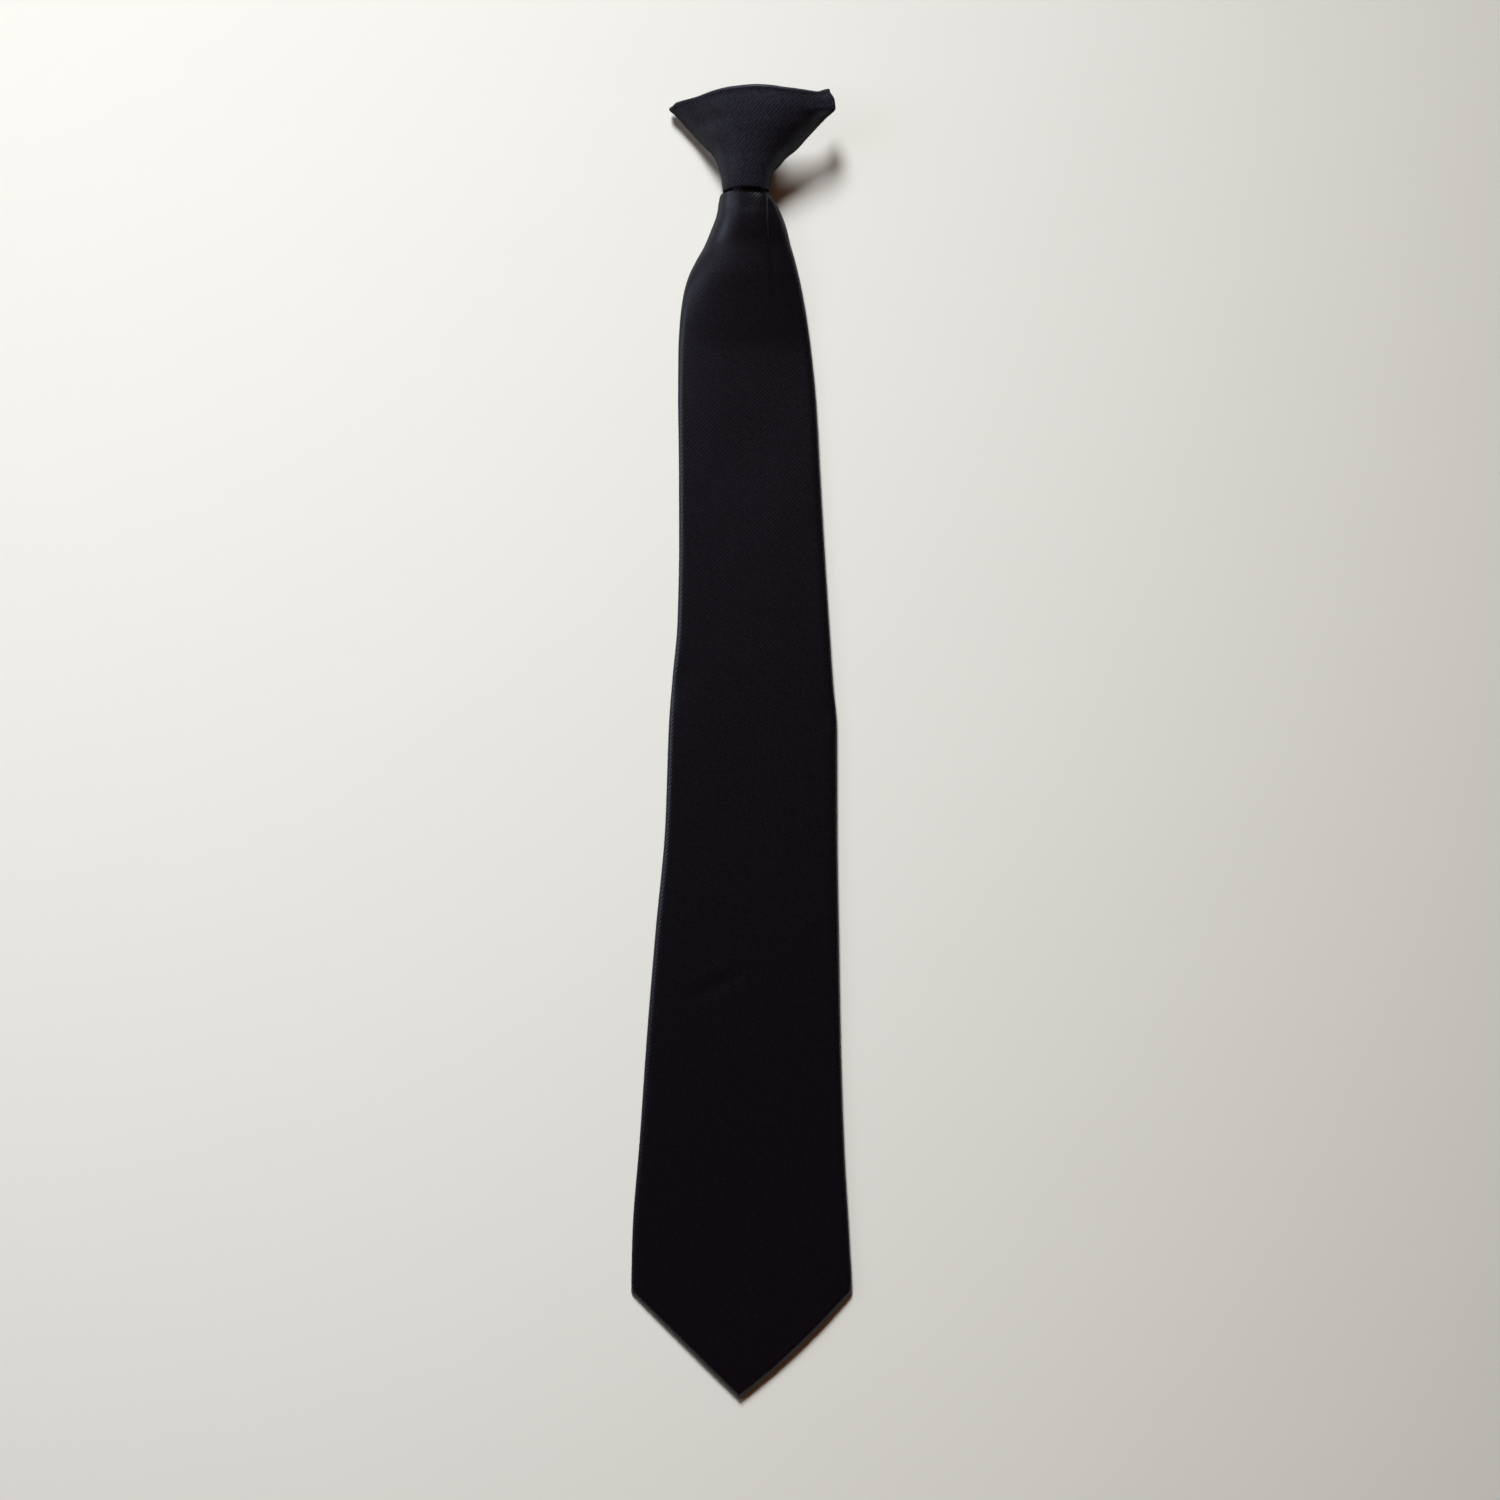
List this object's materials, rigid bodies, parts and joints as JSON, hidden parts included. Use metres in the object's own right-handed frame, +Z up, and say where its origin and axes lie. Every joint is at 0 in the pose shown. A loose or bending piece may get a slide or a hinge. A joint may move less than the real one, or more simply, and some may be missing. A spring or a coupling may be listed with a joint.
{
  "type": "pin-on necktie",
  "caption": "Plain black pin-on necktie with a ready-made flared knot, a padded blade that widens to a pointed tip, and a collar clip inside the knot's open back.",
  "frame": {"origin": "on the table that the tie lies on, under the middle of its bounding box", "axes": "+X across the tie, to the right as the picture shows it; +Y along the tie from the blade's point to the knot's rim; +Z up from the table, out of the tie's front"},
  "size_m": [0.0848, 0.5, 0.0233],
  "materials": {
    "tie_cloth": "black woven polyester with a faint sheen",
    "knot_cloth": "the same black cloth, drawn over a stiff core",
    "nylon": "black moulded nylon, satin"
  },
  "bodies": {
    "root": {"blade": "tie_cloth", "knot": "knot_cloth", "collar_clip": "nylon"}
  },
  "joints": []
}
